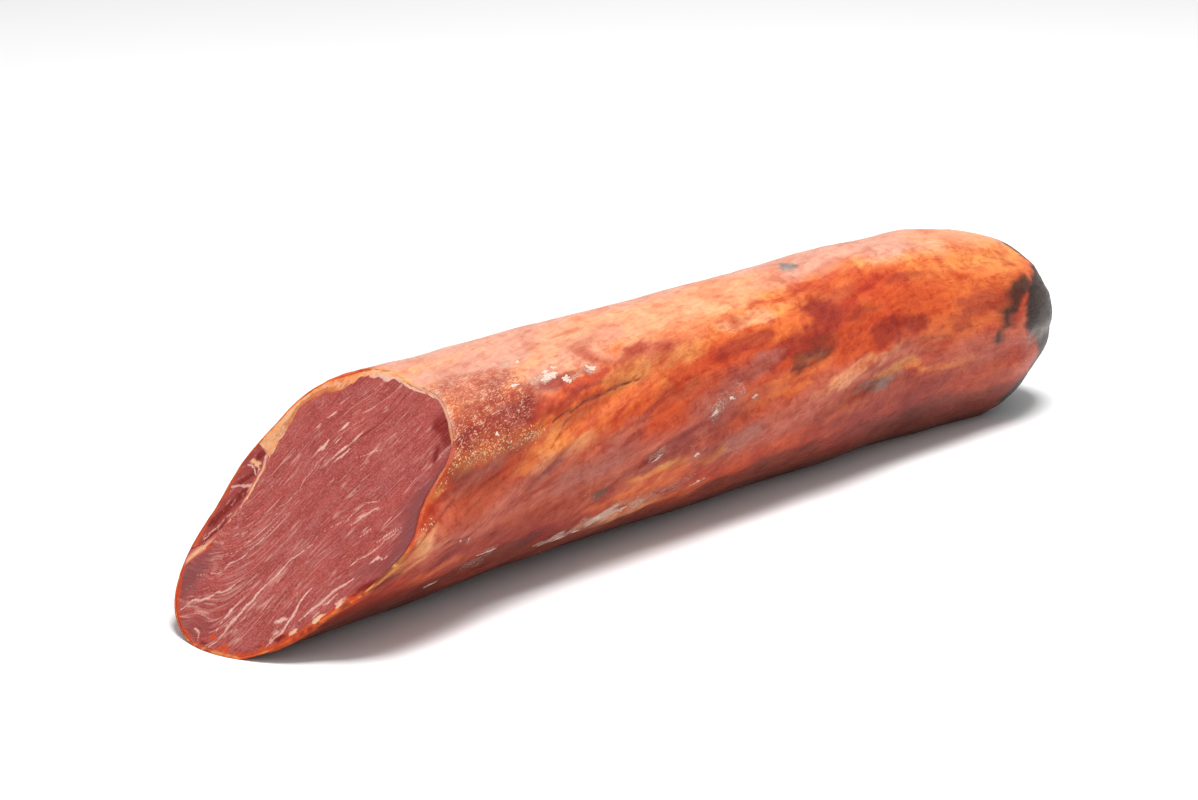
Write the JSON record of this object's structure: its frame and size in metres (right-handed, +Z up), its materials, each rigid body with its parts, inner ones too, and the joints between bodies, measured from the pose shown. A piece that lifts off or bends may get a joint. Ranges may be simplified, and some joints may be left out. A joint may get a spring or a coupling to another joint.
{
  "type": "iberian cured pork loin",
  "caption": "Half of a cured pork loin in its casing, cut on a slant at one end to show dark red marbled meat and its fat layer, and rounded at the other.",
  "frame": {"origin": "middle of the underside of the box round the whole loin, on the surface it lies on", "axes": "+X runs along the loin from the slanted cut to the rounded end, +Y points to the side with the side muscle, which faces away from the viewer in the picture, +Z is up"},
  "size_m": [0.2884, 0.0588, 0.0535],
  "materials": {
    "lean": "cured lean pork, dark rose red with fine pale streaks of marbling, slightly moist sheen on the cut",
    "fat": "cured pork fat stained with paprika, cream to orange, satin",
    "side": "dark maroon side muscle with pale streaks, satin",
    "casing": "dried casing rubbed with paprika, mottled orange, red and brown, dusted with pale bloom, semi gloss"
  },
  "bodies": {
    "root": {"lean_meat": "lean", "fat_layer": "fat", "side_muscle": "side"}
  },
  "joints": []
}
